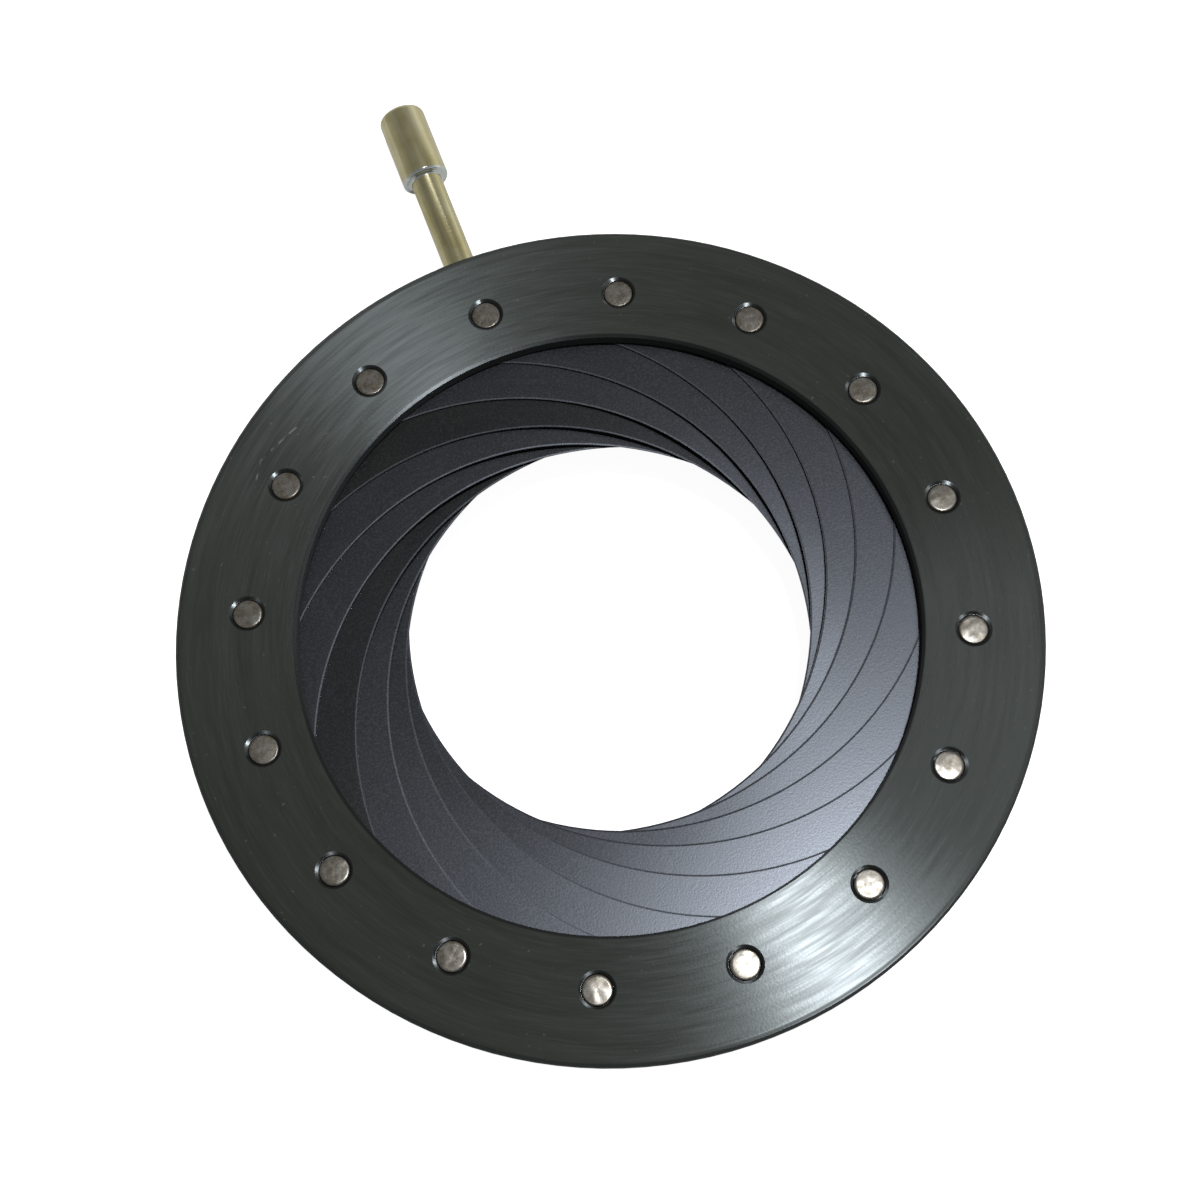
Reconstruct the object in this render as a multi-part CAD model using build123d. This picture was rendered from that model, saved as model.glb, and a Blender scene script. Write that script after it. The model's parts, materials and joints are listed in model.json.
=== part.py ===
from build123d import *
from math import asin, asinh, atan2, cos, degrees, hypot, radians, sin, sqrt
import os

# Iris diaphragm: a turned cup carries sixteen swinging leaves between its front plate
# and a slotted drive ring. The optical axis is Z and the origin is the centre of the front
# face. The pivot pins show in that face, which looks along +Z, and the lever points along
# +Y. The functions below build with the rear face on z = 0; every node moves down at the end.

# Housing
leaf_count = 16
rim_dia = 50.0
rim_step = 0.5  # the body behind the front plate stands in from the rim by this much
wall_thickness = 0.6
plate_thickness = 0.9
plate_chamfer = 0.15

# Leaves
blade_width = 5.6
blade_thickness = 0.04
blade_wall_gap = 0.2
blade_hide = 0.1  # how far the fully open leaves stand back behind the bore
smallest_aperture_dia = 3.0
leaf_drop = 1.9  # fall of a blade from its pivot pin to its drive pin
steep_half_angle = 10.0  # a blade falls fastest this far each side of its middle, in degrees
tail_trim = 2.0  # degrees by which the round tail stops short of the drive pin
leaf_float = 0.05

# Leaf pins
pivot_pin_dia = 1.7
pivot_pin_clearance = 0.05
pivot_pin_recess = 0.1
pivot_hole_chamfer = 0.17
drive_pin_dia = 1.0
drive_pin_inset = 1.1  # from the blade's outer edge to the pin's centre
drive_pin_recess = 0.3

# Drive ring
ring_thickness = 2.2
ring_clearance = 0.05
ring_float = 0.05
slot_clearance = 0.06
slot_corner = 0.2

# Retaining ring
rear_lip = 0.4
retainer_thickness = 0.5
retainer_width = 1.5
groove_depth = 0.25
retainer_gap = 8.0

# Lever
thread_dia = 1.6
thread_length = 4.0
shank_dia = 2.0
knob_dia = 3.0
knob_length = 5.7
knob_chamfer = 0.3
knob_shoulder_chamfer = 0.12
lever_projection = 13.7
lever_clearance = 0.1

# Radii that follow
rim_r = rim_dia / 2
body_r = rim_r - rim_step
wall_r = body_r - wall_thickness
pivot_r = wall_r - blade_wall_gap - blade_width / 2
blade_inner_r = pivot_r - blade_width / 2
bore_r = blade_inner_r - blade_hide
pivot_hole_r = pivot_pin_dia / 2 + pivot_pin_clearance
drive_pin_r = drive_pin_dia / 2

# Leaf linkage. An arc leaf that swings by b about its pivot closes the aperture to
# blade_inner_r - 2 * pivot_r * sin(b / 2). The lead is the leaf's swing, in radians, still
# to go until the drive pin lies on the line from the pivot through the optical axis. That
# is halfway through the whole swing, so the drive pin is furthest out at both ends.
swing_closed = 2 * asin((blade_inner_r - smallest_aperture_dia / 2) / (2 * pivot_r))
lead_open = swing_closed / 2
far_r = pivot_r + blade_width / 2 - drive_pin_inset
link_length = pivot_r * cos(lead_open) + sqrt(far_r**2 - (pivot_r * sin(lead_open)) ** 2)


def pin_reach(lead):
    """Distance of the drive pin from the optical axis."""
    return hypot(link_length * sin(lead), link_length * cos(lead) - pivot_r)


def pin_turn(lead):
    """Angle of the drive pin about the optical axis, from opposite the pivot."""
    return atan2(link_length * sin(lead), link_length * cos(lead) - pivot_r)


def slot_drift(ratio):
    """Largest side play that ring slots need when the ring turns by ratio times the leaf."""
    leads = [lead_open * step / 60 for step in range(61)]
    return max(abs(pin_turn(lead) - ratio * lead) * pin_reach(lead) for lead in leads)


turn_ratio = min([1.5 + 0.001 * step for step in range(1000)], key=slot_drift)
slot_half_width = drive_pin_r + slot_drift(turn_ratio) + slot_clearance
drive_pin_angle = degrees(radians(180) - pin_turn(lead_open))
tail_angle = drive_pin_angle - tail_trim
cap_angle = degrees(blade_width / 2 / pivot_r)

# Stored pose: the lever stands over a pivot pin and midway between two ring slots.
leaf_pitch = 360 / leaf_count
lead_rest = radians(leaf_pitch / 2) / turn_ratio
swing_rest = lead_open - lead_rest
slot_start_angle = leaf_pitch / 2 - 90
lever_open_turn = degrees(turn_ratio * swing_rest)
lever_close_turn = degrees(turn_ratio * (swing_closed - swing_rest))


def blade_rise(turn):
    """Height of a blade's underside over its middle, at turn degrees on from its pivot."""
    middle = drive_pin_angle / 2
    scale = leaf_drop / 2 / asinh(middle / steep_half_angle)
    return -scale * asinh((turn - middle) / steep_half_angle)


# Heights that follow
retainer_top = rear_lip + retainer_thickness
ring_bottom = retainer_top + ring_float
ring_top = ring_bottom + ring_thickness
lever_z = (ring_bottom + ring_top) / 2
blade_middle_z = ring_top + leaf_float - blade_rise(tail_angle + cap_angle)
plate_z = blade_middle_z + blade_rise(-cap_angle) + blade_thickness + leaf_float
front_z = plate_z + plate_thickness
ring_r = wall_r - ring_clearance


def ring_profile(corners):
    """A body of revolution about Z from its (radius, height) outline."""
    return revolve(Plane.XZ * make_face(Polyline(*corners, close=True)), Axis.Z)


def make_housing():
    """Cup with a wider front plate on top, pivot holes, lever slot and retainer groove."""
    cut = plate_chamfer
    groove_r = wall_r + groove_depth
    cup = ring_profile([
        (wall_r, 0),
        (body_r - cut, 0),
        (body_r, cut),
        (body_r, plate_z),
        (rim_r, plate_z),
        (rim_r, front_z - cut),
        (rim_r - cut, front_z),
        (bore_r + cut, front_z),
        (bore_r, front_z - cut),
        (bore_r, plate_z),
        (wall_r, plate_z),
        (wall_r, ring_bottom),
        (groove_r, ring_bottom),
        (groove_r, rear_lip),
        (wall_r, rear_lip),
    ])
    mouth_r = pivot_hole_r + pivot_hole_chamfer
    hole = Pos(0, 0, plate_z) * extrude(Circle(pivot_hole_r), plate_thickness)
    hole += Pos(0, 0, front_z - pivot_hole_chamfer / 2) * Cone(
        pivot_hole_r, mouth_r, pivot_hole_chamfer
    )
    for place in PolarLocations(pivot_r, leaf_count, start_angle=90):
        cup -= place * hole
    half_height = shank_dia / 2 + lever_clearance
    end_room = degrees(asin(half_height / wall_r))
    first = 90 - lever_close_turn - end_room
    sweep_angle = lever_open_turn + lever_close_turn + 2 * end_room
    opening = revolve(
        Plane.XZ * Pos(body_r, lever_z) * Rectangle(4 * wall_thickness, 2 * half_height),
        Axis.Z,
        sweep_angle,
    )
    return cup - Rot(0, 0, first) * opening


def make_retaining_ring():
    """Sprung split ring that sits in the rim's groove behind the drive ring."""
    outer_r = wall_r + groove_depth
    ring = Circle(outer_r) - Circle(outer_r - groove_depth - retainer_width)
    ring -= Pos(0, -outer_r) * Rectangle(retainer_gap, 4 * retainer_width)
    return Pos(0, 0, rear_lip) * extrude(ring, retainer_thickness)


def make_drive_ring():
    """Flat ring with a slot for each drive pin and a tapped hole for the lever."""
    slot_end_r = far_r + drive_pin_r + slot_clearance
    slot = Pos(slot_end_r / 2, 0) * RectangleRounded(slot_end_r, 2 * slot_half_width, slot_corner)
    outline = Circle(ring_r) - Circle(bore_r)
    for place in PolarLocations(0, leaf_count, start_angle=slot_start_angle):
        outline -= place * slot
    ring = Pos(0, 0, ring_bottom) * extrude(outline, ring_thickness)
    tapped = Pos(0, ring_r, lever_z) * Rot(90, 0, 0) * extrude(Circle(thread_dia / 2), thread_length)
    return ring - tapped


def make_lever():
    """Turned lever: a threaded end, a shank through the rim slot and a thicker knob."""
    tip_y = rim_r + lever_projection
    shoulder_y = tip_y - knob_length
    knob_r = knob_dia / 2
    profile = make_face(Polyline(
        (0, ring_r - thread_length),
        (thread_dia / 2, ring_r - thread_length),
        (thread_dia / 2, ring_r),
        (shank_dia / 2, ring_r),
        (shank_dia / 2, shoulder_y),
        (knob_r - knob_shoulder_chamfer, shoulder_y),
        (knob_r, shoulder_y + knob_shoulder_chamfer),
        (knob_r, tip_y - knob_chamfer),
        (knob_r - knob_chamfer, tip_y),
        (0, tip_y),
        close=True,
    ))
    return Pos(0, 0, lever_z) * revolve(profile, Axis.Y)


def blade_edge(radius):
    """Sprung line of a blade along one radius, from beyond its pivot to beyond its tail."""
    first = -1.3 * cap_angle
    last = tail_angle + 1.3 * cap_angle
    count = 18
    turns = [first + (last - first) * step / count for step in range(count + 1)]
    return Spline(*[
        (
            radius * cos(radians(turn)),
            -radius * sin(radians(turn)),
            blade_middle_z + blade_rise(turn),
        )
        for turn in turns
    ])


def make_leaf():
    """One leaf in the fully open place of the pivot on +X: blade, pivot pin, drive pin."""
    over = 0.2
    strip = Face.make_surface_from_curves(
        blade_edge(pivot_r - blade_width / 2 - over),
        blade_edge(pivot_r + blade_width / 2 + over),
    )
    sheet = Solid.extrude(strip, Vector(0, 0, blade_thickness))
    mid_line = CenterArc((0, 0), pivot_r, 0, -tail_angle)
    outline = extrude(SlotArc(mid_line, blade_width), front_z)
    drive_place = Rot(0, 0, -drive_pin_angle) * Pos(far_r, 0, 0)
    pivot_end_z = blade_middle_z + blade_rise(0) + blade_thickness / 2
    drive_end_z = blade_middle_z + blade_rise(drive_pin_angle) + blade_thickness / 2
    pivot_bar = Pos(pivot_r, 0, 0) * extrude(Circle(pivot_pin_dia / 2), front_z)
    drive_bar = drive_place * extrude(Circle(drive_pin_r), front_z)
    blade = (outline & sheet) - pivot_bar - drive_bar
    pivot_pin = Pos(pivot_r, 0, pivot_end_z) * extrude(
        Circle(pivot_pin_dia / 2), front_z - pivot_pin_recess - pivot_end_z
    )
    drive_bottom = ring_bottom + drive_pin_recess
    drive_pin = drive_place * Pos(0, 0, drive_bottom) * extrude(
        Circle(drive_pin_r), drive_end_z - drive_bottom
    )
    return {"blade": blade, "pivot_pin": pivot_pin, "drive_pin": drive_pin}


os.makedirs("parts", exist_ok=True)
nodes = {
    "housing": make_housing(),
    "retaining_ring": make_retaining_ring(),
    "drive_ring": make_drive_ring(),
    "lever": make_lever(),
}
leaf = make_leaf()
swing = Pos(pivot_r, 0, 0) * Rot(0, 0, -degrees(swing_rest)) * Pos(-pivot_r, 0, 0)
for number in range(leaf_count):
    place = Rot(0, 0, 90 + leaf_pitch * number) * swing
    for piece, shape in leaf.items():
        nodes[f"leaf_{number + 1:02d}_{piece}"] = place * shape
for name, shape in nodes.items():
    export_step(Pos(0, 0, -front_z) * shape, f"parts/{name}.step")
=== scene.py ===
import bmesh
import bpy
import json
import math
from mathutils import Matrix, Vector, noise


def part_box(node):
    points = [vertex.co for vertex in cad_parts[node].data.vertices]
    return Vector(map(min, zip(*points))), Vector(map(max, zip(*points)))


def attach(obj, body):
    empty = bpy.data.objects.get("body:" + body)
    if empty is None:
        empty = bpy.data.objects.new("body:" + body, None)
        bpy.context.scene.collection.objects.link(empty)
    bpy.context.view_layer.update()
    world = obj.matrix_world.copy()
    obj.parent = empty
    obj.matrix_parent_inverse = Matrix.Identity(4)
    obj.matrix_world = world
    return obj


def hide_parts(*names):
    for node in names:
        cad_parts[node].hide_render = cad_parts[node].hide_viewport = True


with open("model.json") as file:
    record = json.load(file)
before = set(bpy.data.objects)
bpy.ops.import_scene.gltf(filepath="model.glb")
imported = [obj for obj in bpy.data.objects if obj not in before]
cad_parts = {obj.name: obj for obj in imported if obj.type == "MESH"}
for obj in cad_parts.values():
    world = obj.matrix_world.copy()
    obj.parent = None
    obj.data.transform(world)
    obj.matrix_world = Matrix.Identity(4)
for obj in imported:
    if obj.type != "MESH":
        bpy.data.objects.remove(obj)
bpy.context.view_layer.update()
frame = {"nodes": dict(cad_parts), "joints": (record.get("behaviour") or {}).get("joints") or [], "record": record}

# An iris diaphragm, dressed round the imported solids. The optical axis is Z, the front face is
# z = 0 and looks along +Z, and the lever points along +Y. Lengths are millimetres unless a
# comment says metres, and are multiplied by MM where Blender wants metres.

MM = 0.001

# Sizes from the frame. Leaf 1 has its pivot on +Y.
mounts = {mount["name"]: mount for mount in frame["record"]["mounts"]}
swings = [joint for joint in frame["joints"] if joint["name"].endswith("_swing")]
LEAF_COUNT = len(swings)
PIVOT_R = swings[0]["pos_m"][1] / MM
BORE_R = mounts["clear_bore"]["dims"]["r_mm"]
RIM_R = mounts["rim"]["dims"]["r_mm"]
REAR_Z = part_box("housing")[0].z  # metres

# Leaves
LEAF_SWING = math.radians(17.647299)  # from fully open to the stored pose
LEAF_INNER_R = BORE_R + 0.1  # the open leaves stand back behind the bore
# Leaves drawn darker, warmer in tone and less glossy than the rest
DARKER_LEAVES = (3, 6)

# Front plate, as in the housing's solid
EDGE_CHAMFER = 0.15
HOLE_R = 0.9  # wall of a pivot hole
HOLE_MOUTH_R = 1.07  # outer end of a pivot hole's chamfer

# Riveted pins
PIN_SEGMENTS = 36
PIN_LEAN_STEP = 1.7  # turn from one top's high side to the next, in radians
PIN_SLANT = 0.012  # rise of the top from its middle to its high side
PIN_ROUGHNESS = 0.012
PIN_DOME = 0.02
PIN_DROP = 0.01  # lowers the uneven top
PIN_COVER = 0.005  # least depth of a pin's top below the front face

# Lever
LEVER_SEGMENTS = 72
THREAD_R = 0.8
THREAD_CHAMFER = 0.12
SHANK_R = 1.0
KNOB_R = 1.5
KNOB_SHOULDER = 5.42  # from the solid's tip back to the knob's shoulder
SHOULDER_ROUND = 0.20
TIP_ROUND = 0.34
TIP_SHORT = 0.28  # the drawn lever stops short of the solid's tip
ROUND_STEPS = 8

# Floor, light and camera. The lens and its sensor are in millimetres, the rest in metres.
FLOOR_HALF = 1.5
FLOOR_TONE = (0.64, 0.64, 0.64, 1.0)
FLOOR_GLOW_SEEN = 0.93  # what the camera sees besides the light on the floor
FLOOR_GLOW_MIRRORED = 0.08  # what reflections see
SKY_LOW = 0.65
SKY_HIGH = 0.13
SKY_TILT = 0.5  # how much brighter the sky is on the +X side
LIGHT_DISTANCE = 1.0
KEY_LIGHT = {"direction": (0.145, 0.020, 0.99), "size": 0.07, "power": 6.0}
FILL_LIGHT = {"direction": (0.334, 0.133, 0.933), "size": 0.25, "power": 0.55}
CAMERA_LENS = 57.147
CAMERA_SENSOR = 36.0
CAMERA_PLACE = Vector((-9.323, -31.024, 104.622)) * MM
CAMERA_RIGHT = Vector((0.93464, -0.35475, -0.0265))
CAMERA_BACK = Vector((-0.08487, -0.29460, 0.9518))


# Node helpers

class Nodes:
    """Short calls for the nodes of one tree."""

    def __init__(self, tree):
        self.tree = tree

    def node(self, kind, **settings):
        made = self.tree.nodes.new(kind)
        for key, value in settings.items():
            setattr(made, key, value)
        return made

    def link(self, source, target):
        self.tree.links.new(source, target)

    def feed(self, target, value):
        if isinstance(value, bpy.types.NodeSocket):
            self.link(value, target)
        else:
            target.default_value = value

    def math(self, operation, first, second=0.0, third=0.0):
        made = self.node("ShaderNodeMath", operation=operation)
        for target, value in zip(made.inputs, (first, second, third)):
            self.feed(target, value)
        return made.outputs[0]

    def ramp(self, value, low, high, out_low=0.0, out_high=1.0):
        """Smooth step of value from low to high."""
        made = self.node("ShaderNodeMapRange", interpolation_type="SMOOTHSTEP")
        for target, item in zip(made.inputs, (value, low, high, out_low, out_high)):
            self.feed(target, item)
        return made.outputs[0]

    def band(self, value, centre, half, soft):
        """1 within half of centre, falling to 0 over soft."""
        away = self.math("ABSOLUTE", self.math("SUBTRACT", value, centre))
        return self.ramp(away, half, half + soft, 1.0, 0.0)

    def product(self, *values):
        """All the values multiplied together."""
        total = values[0]
        for value in values[1:]:
            total = self.math("MULTIPLY", total, value)
        return total

    def add(self, *terms):
        """Sum of (socket, weight) pairs."""
        total = 0.0
        for socket, weight in terms:
            total = self.math("MULTIPLY_ADD", socket, weight, total)
        return total

    def length(self, x, y):
        """Length of the vector x, y."""
        return self.math("SQRT", self.math("ADD", self.product(x, x), self.product(y, y)))

    def split(self, vector):
        """The x, y and z of a vector."""
        made = self.node("ShaderNodeSeparateXYZ")
        self.link(vector, made.inputs[0])
        return made.outputs[:3]

    def vector(self, x, y, z):
        made = self.node("ShaderNodeCombineXYZ")
        for target, value in zip(made.inputs, (x, y, z)):
            self.feed(target, value)
        return made.outputs[0]

    def scaled(self, vector, factor):
        """A vector times a number."""
        made = self.node("ShaderNodeVectorMath", operation="SCALE")
        self.link(vector, made.inputs[0])
        self.feed(made.inputs["Scale"], factor)
        return made.outputs[0]


class Shader(Nodes):
    """A Principled material, with calls for where a point lies and for patterns and bumps."""

    def __init__(self, name, **constants):
        self.material = bpy.data.materials.new(name)
        self.material.use_nodes = True
        super().__init__(self.material.node_tree)
        self.bsdf = self.tree.nodes["Principled BSDF"]
        for socket, value in constants.items():
            self.bsdf.inputs[socket.replace("_", " ")].default_value = value

    def set(self, socket, value):
        """Feeds one socket of the Principled node."""
        self.link(value, self.bsdf.inputs[socket])

    def place(self, centre=(0.0, 0.0)):
        """Position in millimetres from centre as x, y, z, radius and unit circle x, y."""
        coordinates = self.node("ShaderNodeTexCoord").outputs["Object"]
        point = self.scaled(coordinates, 1 / MM)
        x, y, z = self.split(point)
        x = self.math("SUBTRACT", x, centre[0])
        y = self.math("SUBTRACT", y, centre[1])
        radius = self.length(x, y)
        return {"point": point, "x": x, "y": y, "z": z, "r": radius,
                "cos": self.math("DIVIDE", x, radius), "sin": self.math("DIVIDE", y, radius)}

    def stretched(self, at, keys, factors):
        """A point from three values of a place, each times its own number."""
        return self.vector(*(self.product(at[key], factor) for key, factor in zip(keys, factors)))

    def noise(self, point, scale, detail=3.0, roughness=0.5):
        made = self.node("ShaderNodeTexNoise")
        self.link(point, made.inputs["Vector"])
        for key, value in (("Scale", scale), ("Detail", detail), ("Roughness", roughness)):
            made.inputs[key].default_value = value
        return made.outputs["Fac"]

    def streaks(self, at, along, across, offset=0.0, detail=2.0):
        """Noise drawn out along circles about the part's axis."""
        radial = self.math("MULTIPLY_ADD", at["r"], across, offset)
        point = self.vector(self.product(at["cos"], along), self.product(at["sin"], along), radial)
        return self.noise(point, 1.0, detail)

    def mix(self, factor, first, second):
        """The first colour where factor is 0 and the second where it is 1."""
        made = self.node("ShaderNodeMix", data_type="RGBA")
        colours = [socket for socket in made.inputs if socket.type == "RGBA"]
        self.feed(made.inputs[0], factor)
        for target, value in zip(colours, (first, second)):
            self.feed(target, value if isinstance(value, bpy.types.NodeSocket) else (*value, 1.0))
        return [socket for socket in made.outputs if socket.type == "RGBA"][0]

    def blotch(self, tone, pattern, low, high, share, colour):
        """The tone with share of a colour where the pattern is above low, fully from high."""
        return self.mix(self.product(self.ramp(pattern, low, high), share), tone, colour)

    def bump(self, height, normal=None):
        """Bump from a height in millimetres."""
        made = self.node("ShaderNodeBump")
        made.inputs["Distance"].default_value = MM
        self.link(height, made.inputs["Height"])
        if normal:
            self.link(normal, made.inputs["Normal"])
        return made.outputs[0]

    def flattened(self, share):
        """The surface's normal, turned by share towards the optical axis except on walls."""
        normal = self.node("ShaderNodeNewGeometry").outputs["Normal"]
        facing = self.node("ShaderNodeMapRange")
        for target, item in zip(facing.inputs, (self.split(normal)[2], -0.3, 0.3, -1.0, 1.0)):
            self.feed(target, item)
        lift = self.product(facing.outputs[0], share)
        total = self.node("ShaderNodeVectorMath", operation="ADD")
        self.link(self.scaled(normal, self.math("SUBTRACT", 1.0, share)), total.inputs[0])
        self.link(self.vector(0.0, 0.0, lift), total.inputs[1])
        unit = self.node("ShaderNodeVectorMath", operation="NORMALIZE")
        self.link(total.outputs[0], unit.inputs[0])
        return unit.outputs[0]

    def brush_round(self, amount):
        """Brushed along circles about Z: reflections spread along the radius."""
        self.bsdf.inputs["Anisotropic"].default_value = amount
        self.bsdf.inputs["Anisotropic Rotation"].default_value = 0.25
        tangent = self.node("ShaderNodeTangent", direction_type="RADIAL", axis="Z")
        self.link(tangent.outputs[0], self.bsdf.inputs["Tangent"])


# Materials

def from_nearest_hole(s, at):
    """Distance in millimetres from the axis of the nearest pivot hole."""
    turned = s.product(s.math("ARCTAN2", at["y"], at["x"]), LEAF_COUNT / math.tau)
    local = s.product(s.math("SUBTRACT", turned, s.math("ROUND", turned)), math.tau / LEAF_COUNT)
    across = s.math("SUBTRACT", s.product(at["r"], s.math("COSINE", local)), PIVOT_R)
    sideways = s.product(at["r"], s.math("SINE", local))
    return s.length(across, sideways)


def scratch(s, at, start, end, half):
    """A slightly bent, broken line from start to end, in millimetres, 1 on the line."""
    along = (Vector(end) - Vector(start)).normalized()
    middle = (Vector(start) + Vector(end)) / 2
    reach = (Vector(end) - Vector(start)).length / 2
    x = s.math("SUBTRACT", at["x"], middle.x)
    y = s.math("SUBTRACT", at["y"], middle.y)
    run = s.math("MULTIPLY_ADD", x, along.x, s.product(y, along.y))
    off = s.math("MULTIPLY_ADD", x, -along.y, s.product(y, along.x))
    bend = s.product(run, run, 0.012)
    line = s.band(s.math("ADD", off, bend), 0.0, half * 0.4, half)
    ends = s.ramp(s.math("ABSOLUTE", run), reach * 0.7, reach, 1.0, 0.0)
    broken = s.ramp(s.noise(at["point"], 1.6, 3.0), 0.42, 0.6)
    return s.product(line, ends, broken)


def housing_material():
    """Black oxide: the plate is brushed in circles, and the body behind it is duller."""
    s = Shader("housing_black", Metallic=0.0, Specular_IOR_Level=0.37,
               Specular_Tint=(0.85, 0.95, 1.0, 1.0))
    at = s.place()
    soft = s.streaks(at, 5.0, 3.2, offset=11.0, detail=3.0)
    fine = s.streaks(at, 10.0, 9.0, detail=4.0)
    broad = s.streaks(at, 2.0, 1.3, offset=7.0)
    cloud = s.noise(at["point"], 0.12, 3.0)
    grain = s.noise(at["point"], 6.0, 2.0)
    specks = s.noise(at["point"], 3.1, 1.0)
    turned = s.noise(s.stretched(at, ("cos", "sin", "z"), (3.0, 3.0, 9.0)), 1.0, 3.0)
    hole = from_nearest_hole(s, at)
    scratches = s.math("MAXIMUM", scratch(s, at, (-16.1, 16.65), (-11.95, 18.6), 0.07),
                       scratch(s, at, (-16.6, 15.2), (-15.6, 17.0), 0.05))

    # Where the surface is the plate's edge, the wall of a pivot hole or the body's side. The edges and the walls
    # of the bore and the holes get painted shade.
    below = s.ramp(at["z"], -EDGE_CHAMFER - 0.05, -EDGE_CHAMFER - 0.01, 1.0, 0.0)
    in_hole = s.ramp(hole, HOLE_R + 0.08, HOLE_R + 0.20, 1.0, 0.0)
    edge = s.math("MAXIMUM", s.ramp(at["r"], BORE_R + 0.12, BORE_R + 0.24, 1.0, 0.0),
                  s.ramp(at["r"], RIM_R - 0.26, RIM_R - 0.12))
    painted_shade = s.math("MAXIMUM", edge, s.math("MAXIMUM", in_hole, below))
    body = s.product(s.ramp(at["r"], BORE_R + 1.0, BORE_R + 2.0), below)

    tone = s.mix(s.ramp(broad, 0.3, 0.7), (0.026, 0.0285, 0.024), (0.032, 0.036, 0.031))
    tone = s.blotch(tone, fine, 0.45, 0.75, 0.4, (0.048, 0.051, 0.046))
    tone = s.blotch(tone, cloud, 0.45, 0.75, 0.4, (0.031, 0.033, 0.025))
    tone = s.blotch(tone, specks, 0.72, 0.80, 0.5, (0.10, 0.105, 0.10))
    tone = s.mix(s.product(scratches, 0.7), tone, (0.16, 0.17, 0.165))
    # Painted shade: the plate's edges and the walls of the bore and the pivot holes are coloured near black.
    tone = s.mix(painted_shade, tone, (0.009, 0.009, 0.0085))
    side = s.mix(s.ramp(turned, 0.35, 0.7), (0.016, 0.017, 0.0155), (0.034, 0.036, 0.034))
    s.set("Base Color", s.mix(body, tone, side))

    rough = s.add((s.ramp(soft, 0.3, 0.7), 0.05), (s.ramp(fine, 0.3, 0.7), 0.03), (cloud, 0.05))
    rough = s.math("MAXIMUM", s.math("ADD", rough, 0.19), s.product(below, 0.85))
    rough = s.math("MULTIPLY_ADD", body, s.math("MULTIPLY_ADD", turned, 0.3, -0.55), rough)
    s.set("Roughness", rough)

    height = s.add((soft, 0.004), (fine, 0.0014), (grain, 0.0008), (s.product(body, turned), 0.012),
                   (s.ramp(at["r"], BORE_R + 0.12, BORE_R + 0.30), 0.003),
                   (s.ramp(at["r"], RIM_R - 0.40, RIM_R - 0.14), -0.035))
    worn = s.math("ADD", s.ramp(at["r"], RIM_R - 0.6, RIM_R - 0.4, 0.55, 0.0),
                  s.ramp(hole, HOLE_MOUTH_R + 0.13, HOLE_MOUTH_R + 0.33, 0.17, 0.0))
    s.set("Normal", s.bump(height, s.flattened(worn)))
    s.brush_round(0.95)
    return s.material


def leaf_material(number, centre):
    """Blued spring steel, brushed round the leaf's own centre. The cut edges are lighter: partly bare metal,
    partly a painted highlight.
    """
    darker = number in DARKER_LEAVES
    s = Shader(f"leaf_steel_{number:02d}", Metallic=0.0, Specular_IOR_Level=0.34 if darker else 0.5,
               Specular_Tint=(0.78, 0.86, 1.0, 1.0))
    at = s.place(centre)
    grain = s.noise(at["point"], 8.0, 2.0, 0.6)
    cloud = s.noise(s.vector(at["x"], at["y"], float(number)), 0.22, 3.0)
    lines = s.streaks(at, 3.0, 2.6, offset=3.1 * number)
    low, high = (0.009, 0.0088, 0.0095), (0.013, 0.0125, 0.014)
    if darker:
        low, high = (0.0065, 0.006, 0.005), (0.009, 0.0085, 0.007)
    tone = s.mix(s.ramp(cloud, 0.3, 0.7), low, high)
    tone = s.blotch(tone, grain, 0.45, 0.75, 0.6, [2.4 * channel for channel in high])
    tone = s.blotch(tone, lines, 0.5, 0.8, 0.3, [2.0 * channel for channel in high])
    upright = s.math("ABSOLUTE", s.split(s.node("ShaderNodeNewGeometry").outputs["Normal"])[2])
    cut_edge_and_highlight = s.ramp(upright, 0.3, 0.6, 1.0, 0.0)
    # The cut edges are coloured light: partly bare metal, partly a painted highlight.
    s.set("Base Color", s.mix(cut_edge_and_highlight, tone, (0.12, 0.123, 0.135)))
    s.set("Roughness", s.math("MULTIPLY_ADD", grain, 0.12, 0.205))
    rolled = s.ramp(at["r"], LEAF_INNER_R - 0.01, LEAF_INNER_R + 0.12)
    s.set("Normal", s.bump(s.add((grain, 0.002), (rolled, 0.0085)), s.flattened(0.7)))
    return s.material


def drive_ring_material():
    """Matt black anodised, turned in circles."""
    s = Shader("ring_black", Metallic=0.0, Specular_IOR_Level=0.5)
    at = s.place()
    fine = s.streaks(at, 6.0, 9.0, detail=3.0)
    cloud = s.noise(at["point"], 0.3, 4.0)
    tone = s.mix(s.ramp(cloud, 0.3, 0.7), (0.020, 0.021, 0.023), (0.032, 0.033, 0.036))
    s.set("Base Color", s.blotch(tone, fine, 0.5, 0.8, 0.4, (0.06, 0.062, 0.066)))
    s.set("Roughness", s.math("MULTIPLY_ADD", fine, 0.15, 0.34))
    s.set("Normal", s.bump(s.product(fine, 0.003)))
    s.brush_round(0.6)
    return s.material


def spring_material():
    """Grey spring steel with faint stains."""
    s = Shader("spring_steel", Metallic=1.0)
    at = s.place()
    fine = s.streaks(at, 5.0, 12.0, detail=3.0)
    stain = s.noise(at["point"], 0.8, 4.0)
    s.set("Base Color", s.mix(s.ramp(stain, 0.3, 0.7), (0.16, 0.155, 0.15), (0.26, 0.26, 0.27)))
    s.set("Roughness", s.math("MULTIPLY_ADD", fine, 0.2, 0.28))
    s.set("Normal", s.bump(s.product(fine, 0.002)))
    s.brush_round(0.6)
    return s.material


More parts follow.
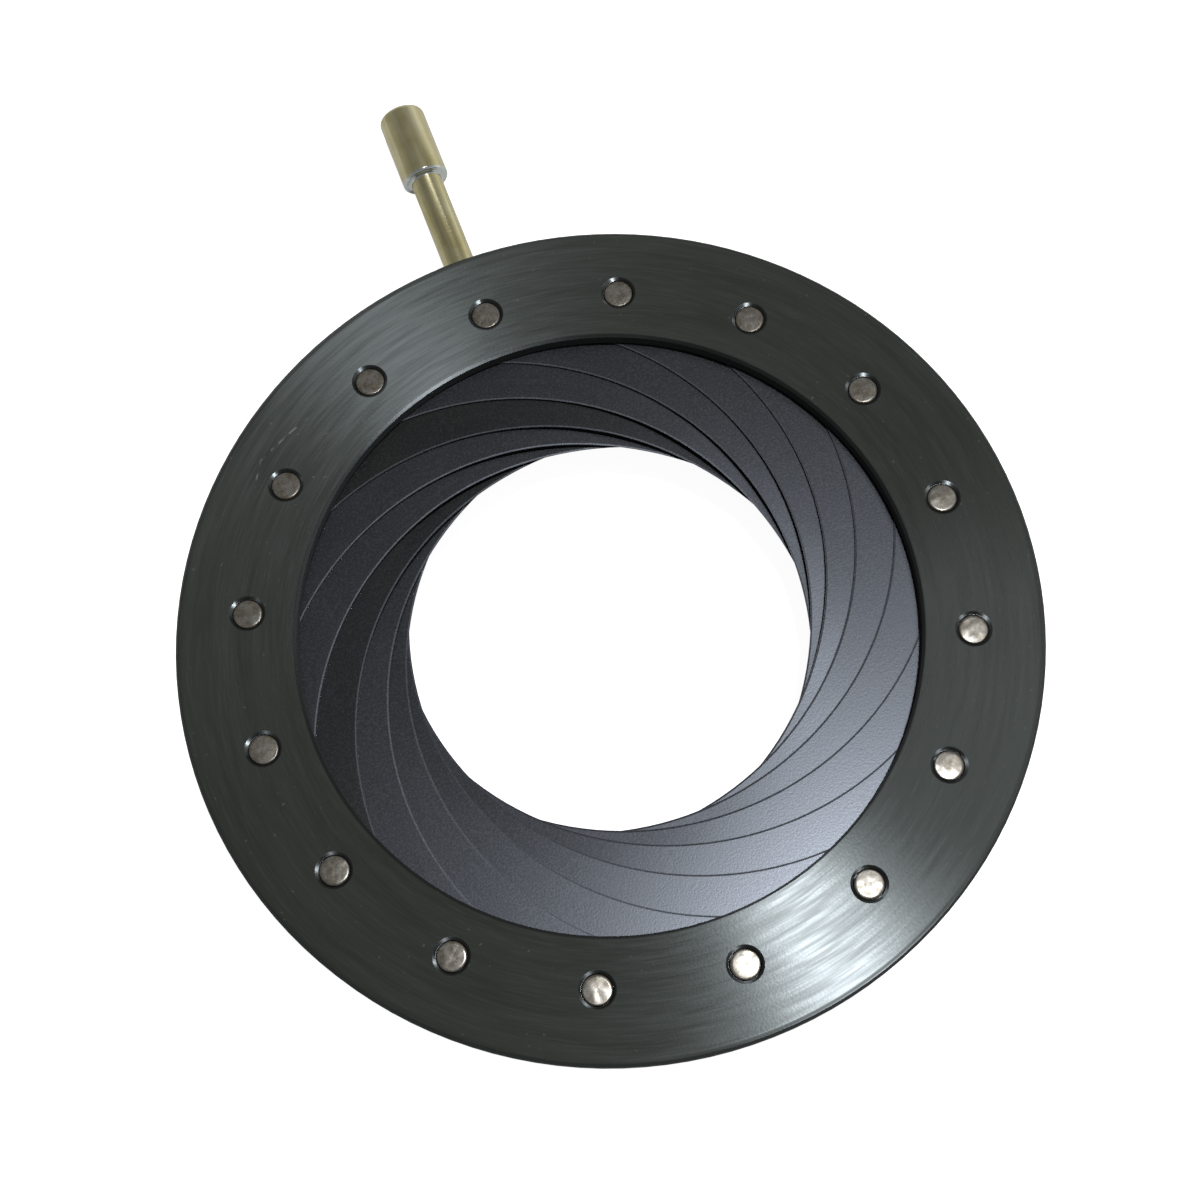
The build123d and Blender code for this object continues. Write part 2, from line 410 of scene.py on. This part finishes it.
def pin_material():
    """Darkened brass with rough spots."""
    s = Shader("pin_brass", Metallic=0.4, Specular_IOR_Level=0.5)
    at = s.place()
    spots = s.noise(at["point"], 1.6, 4.0, 0.7)
    fine = s.noise(at["point"], 7.0, 3.0, 0.6)
    tone = s.mix(s.ramp(spots, 0.35, 0.65), (0.090, 0.077, 0.056), (0.150, 0.142, 0.126))
    s.set("Base Color", s.blotch(tone, fine, 0.5, 0.75, 0.6, (0.21, 0.205, 0.20)))
    s.set("Roughness", s.math("MULTIPLY_ADD", fine, 0.10, 0.20))
    s.set("Normal", s.bump(s.add((spots, 0.0016), (fine, 0.0010))))
    return s.material


def lever_material():
    """Dull turned brass. A band at the knob's shoulder is smoother and carries a painted bluish-white glint."""
    s = Shader("lever_brass", Metallic=0.78)
    at = s.place()
    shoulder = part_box("lever")[1].y / MM - KNOB_SHOULDER
    shoulder_glint = s.band(at["y"], shoulder + 0.05, 0.08, 0.12)
    rings = s.noise(s.vector(0.0, s.product(at["y"], 9.0), 0.0), 1.0, 3.0)
    lines = s.noise(s.stretched(at, ("x", "y", "z"), (3.0, 0.25, 3.0)), 1.0, 2.0)
    stain = s.noise(at["point"], 0.7, 4.0)
    tone = s.mix(s.ramp(stain, 0.3, 0.7), (0.46, 0.41, 0.20), (0.56, 0.51, 0.29))
    tone = s.blotch(tone, lines, 0.4, 0.7, 0.6, (0.62, 0.59, 0.40))
    # Painted glint: a bluish-white colour on the band at the knob's shoulder.
    s.set("Base Color", s.mix(s.product(shoulder_glint, 0.65), tone, (0.60, 0.68, 0.76)))
    rough = s.math("MULTIPLY_ADD", rings, 0.08, 0.16)
    s.set("Roughness", s.math("MULTIPLY_ADD", shoulder_glint, -0.09, rough))
    s.set("Normal", s.bump(s.add((rings, 0.0010), (lines, 0.012), (stain, 0.003))))
    return s.material


def dress(node, material):
    """Puts one material in every slot of a CAD node."""
    thing = frame["nodes"][node]
    if not thing.material_slots:
        thing.data.materials.append(None)
    for place in thing.material_slots:
        place.link = "OBJECT"
        place.material = material


# Pieces made anew

def new_object(name, data):
    made = bpy.data.objects.new(name, data)
    bpy.context.scene.collection.objects.link(made)
    return made


def object_from(name, mesh, material):
    """An object from a finished bmesh, in one material."""
    data = bpy.data.meshes.new(name)
    mesh.to_mesh(data)
    mesh.free()
    data.materials.append(material)
    return new_object(name, data)


def riveted_pin(number, material):
    """A pivot pin whose riveted end is rough, a little domed and slants its own way."""
    node = f"leaf_{number:02d}_pivot_pin"
    low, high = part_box(node)
    centre = (low + high) / 2
    radius = (high.x - low.x) / 2
    lean = PIN_LEAN_STEP * number
    # Each ring is a share of the radius, a share of the height, and how far it follows the
    # uneven top.
    rings = [(1.0, 0.0, 0.0), (1.0, 0.80, 0.0), (1.0, 0.93, 0.0), (0.97, 0.985, 0.3)]
    rings += [(share, 1.0, 1.0) for share in (0.90, 0.78, 0.62, 0.46, 0.3, 0.15)]
    mesh = bmesh.new()
    loops = []
    for share, climb, free in rings:
        loop = []
        for step in range(PIN_SEGMENTS):
            turn = math.tau * step / PIN_SEGMENTS
            x, y = share * math.cos(turn), share * math.sin(turn)
            slant = PIN_SLANT * (x * math.cos(lean) + y * math.sin(lean))
            rough = PIN_ROUGHNESS * noise.noise(Vector((2.3 * x + 5 * number, 2.3 * y, 1.5)))
            dome = PIN_DOME * (1 - share * share)
            z = low.z + (high.z - low.z) * climb + free * (slant + rough + dome - PIN_DROP) * MM
            z = min(z, -PIN_COVER * MM)
            loop.append(mesh.verts.new((centre.x + radius * x, centre.y + radius * y, z)))
        loops.append(loop)
    for lower, upper in zip(loops, loops[1:]):
        for step in range(PIN_SEGMENTS):
            after = (step + 1) % PIN_SEGMENTS
            mesh.faces.new((lower[step], lower[after], upper[after], upper[step]))
    mesh.faces.new(loops[-1])
    mesh.faces.new(list(reversed(loops[0])))
    for face in mesh.faces:
        face.smooth = len(face.verts) == 4
    pin = object_from(f"riveted_pin_{number:02d}", mesh, material)
    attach(pin, f"leaf_{number:02d}")
    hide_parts(node)


def quarter_round(centre_r, centre_y, radius, first):
    """Radius and y of the points of a rounded edge, a quarter turn on from first, in degrees."""
    turns = [math.radians(first + 90 * step / ROUND_STEPS) for step in range(ROUND_STEPS + 1)]
    return [(centre_r + radius * math.cos(turn), centre_y + radius * math.sin(turn))
            for turn in turns]


def lever_profile(start, tip):
    """Radius and y of the lever's outline, in millimetres, from its threaded end to its tip."""
    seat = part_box("drive_ring")[1].x / MM
    shoulder = tip - KNOB_SHOULDER
    end = tip - TIP_SHORT
    points = [(0.0, start), (THREAD_R - THREAD_CHAMFER, start), (THREAD_R, start + THREAD_CHAMFER),
              (THREAD_R, seat), (THREAD_R + 0.04, seat), (SHANK_R, seat), (SHANK_R, seat + 0.05),
              (SHANK_R, shoulder - 0.06), (SHANK_R + 0.02, shoulder)]
    points += quarter_round(KNOB_R - SHOULDER_ROUND, shoulder + SHOULDER_ROUND, SHOULDER_ROUND, -90)
    points += quarter_round(KNOB_R - TIP_ROUND, end - TIP_ROUND, TIP_ROUND, 0)
    return points + [(0.8, end), (0.4, end), (0.0, end)]


def turned_lever(material):
    """The lever as it is turned: threaded end, shank, and a knob with rounded edges."""
    low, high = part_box("lever")
    middle = (low + high) / 2
    turns = [math.tau * step / LEVER_SEGMENTS for step in range(LEVER_SEGMENTS)]
    mesh = bmesh.new()
    loops = []
    for radius, y in lever_profile(low.y / MM, high.y / MM):
        if radius == 0.0:
            loops.append([mesh.verts.new((middle.x, y * MM, middle.z))])
            continue
        loops.append([mesh.verts.new((middle.x + radius * MM * math.cos(turn), y * MM,
                                      middle.z - radius * MM * math.sin(turn))) for turn in turns])
    for lower, upper in zip(loops, loops[1:]):
        for step in range(LEVER_SEGMENTS):
            after = (step + 1) % LEVER_SEGMENTS
            corners = [lower[step % len(lower)], lower[after % len(lower)],
                       upper[after % len(upper)], upper[step % len(upper)]]
            corners = [v for place, v in enumerate(corners) if v not in corners[:place]]
            mesh.faces.new(corners).smooth = True
    bmesh.ops.recalc_face_normals(mesh, faces=mesh.faces)
    lever = object_from("turned_lever", mesh, material)
    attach(lever, "drive")
    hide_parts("lever")


def dress_leaf(number, pin_brass):
    """One leaf's blade and pins. The centre of the blade's arc has swung with the leaf."""
    turn = math.radians(90) + math.tau / LEAF_COUNT * (number - 1)
    pivot = PIVOT_R * Vector((math.cos(turn), math.sin(turn)))
    centre = pivot + Matrix.Rotation(-LEAF_SWING, 2) @ -pivot
    dress(f"leaf_{number:02d}_blade", leaf_material(number, centre))
    dress(f"leaf_{number:02d}_drive_pin", pin_brass)
    riveted_pin(number, pin_brass)


# Floor, world and light

def build_floor():
    """A pale floor that is white to the camera and dim in reflections."""
    half = FLOOR_HALF
    data = bpy.data.meshes.new("floor")
    corners = [(-half, -half, REAR_Z), (half, -half, REAR_Z), (half, half, REAR_Z),
               (-half, half, REAR_Z)]
    data.from_pydata(corners, [], [(0, 1, 2, 3)])
    floor = new_object("floor", data)
    s = Shader("floor_white", Base_Color=FLOOR_TONE, Roughness=0.9,
               Emission_Color=(1.0, 1.0, 1.0, 1.0))
    rays = s.node("ShaderNodeLightPath").outputs
    mirrored = s.math("MAXIMUM", rays["Is Glossy Ray"], rays["Is Transmission Ray"])
    glow = s.product(mirrored, FLOOR_GLOW_MIRRORED)
    glow = s.math("MULTIPLY_ADD", rays["Is Camera Ray"], FLOOR_GLOW_SEEN, glow)
    s.set("Emission Strength", glow)
    data.materials.append(s.material)


def build_world():
    """White to the camera. As light it is brightest low down and on the +X side."""
    world = bpy.data.worlds.new("studio")
    bpy.context.scene.world = world
    world.use_nodes = True
    n = Nodes(world.node_tree)
    x, _, z = n.split(n.node("ShaderNodeTexCoord").outputs["Generated"])
    tilt = n.math("MULTIPLY_ADD", x, SKY_TILT, 1.0)
    sky = n.product(n.ramp(z, 0.1, 0.8, SKY_LOW, SKY_HIGH), tilt)
    rays = n.node("ShaderNodeLightPath").outputs
    background = n.tree.nodes["Background"]
    background.inputs["Color"].default_value = (1.0, 1.0, 1.0, 1.0)
    n.link(n.math("MAXIMUM", rays["Is Camera Ray"], sky), background.inputs["Strength"])


def build_light(name, direction, size, power):
    """A round soft light that looks at the origin."""
    data = bpy.data.lights.new(name, "AREA")
    data.shape = "DISK"
    data.size = size
    data.energy = power
    lamp = new_object(name, data)
    way = Vector(direction).normalized()
    lamp.location = way * LIGHT_DISTANCE
    lamp.rotation_mode = "QUATERNION"
    lamp.rotation_quaternion = way.to_track_quat("Z", "Y")


def build_camera():
    """The photograph's view of the front plate, from a little below and to the left."""
    data = bpy.data.cameras.new("camera")
    data.lens = CAMERA_LENS
    data.sensor_width = CAMERA_SENSOR
    data.clip_start = 0.005
    data.clip_end = 10.0
    camera = new_object("camera", data)
    back = CAMERA_BACK.normalized()
    up = back.cross(CAMERA_RIGHT.normalized()).normalized()
    right = up.cross(back)
    turn = Matrix((right, up, back)).transposed()
    camera.matrix_world = Matrix.Translation(CAMERA_PLACE) @ turn.to_4x4()
    bpy.context.scene.camera = camera


dress("housing", housing_material())
dress("drive_ring", drive_ring_material())
dress("retaining_ring", spring_material())
turned_lever(lever_material())
pin_brass = pin_material()
for number in range(1, LEAF_COUNT + 1):
    dress_leaf(number, pin_brass)
build_floor()
build_world()
build_light("key", **KEY_LIGHT)
build_light("fill", **FILL_LIGHT)
build_camera()
bpy.context.scene.view_settings.view_transform = "Standard"
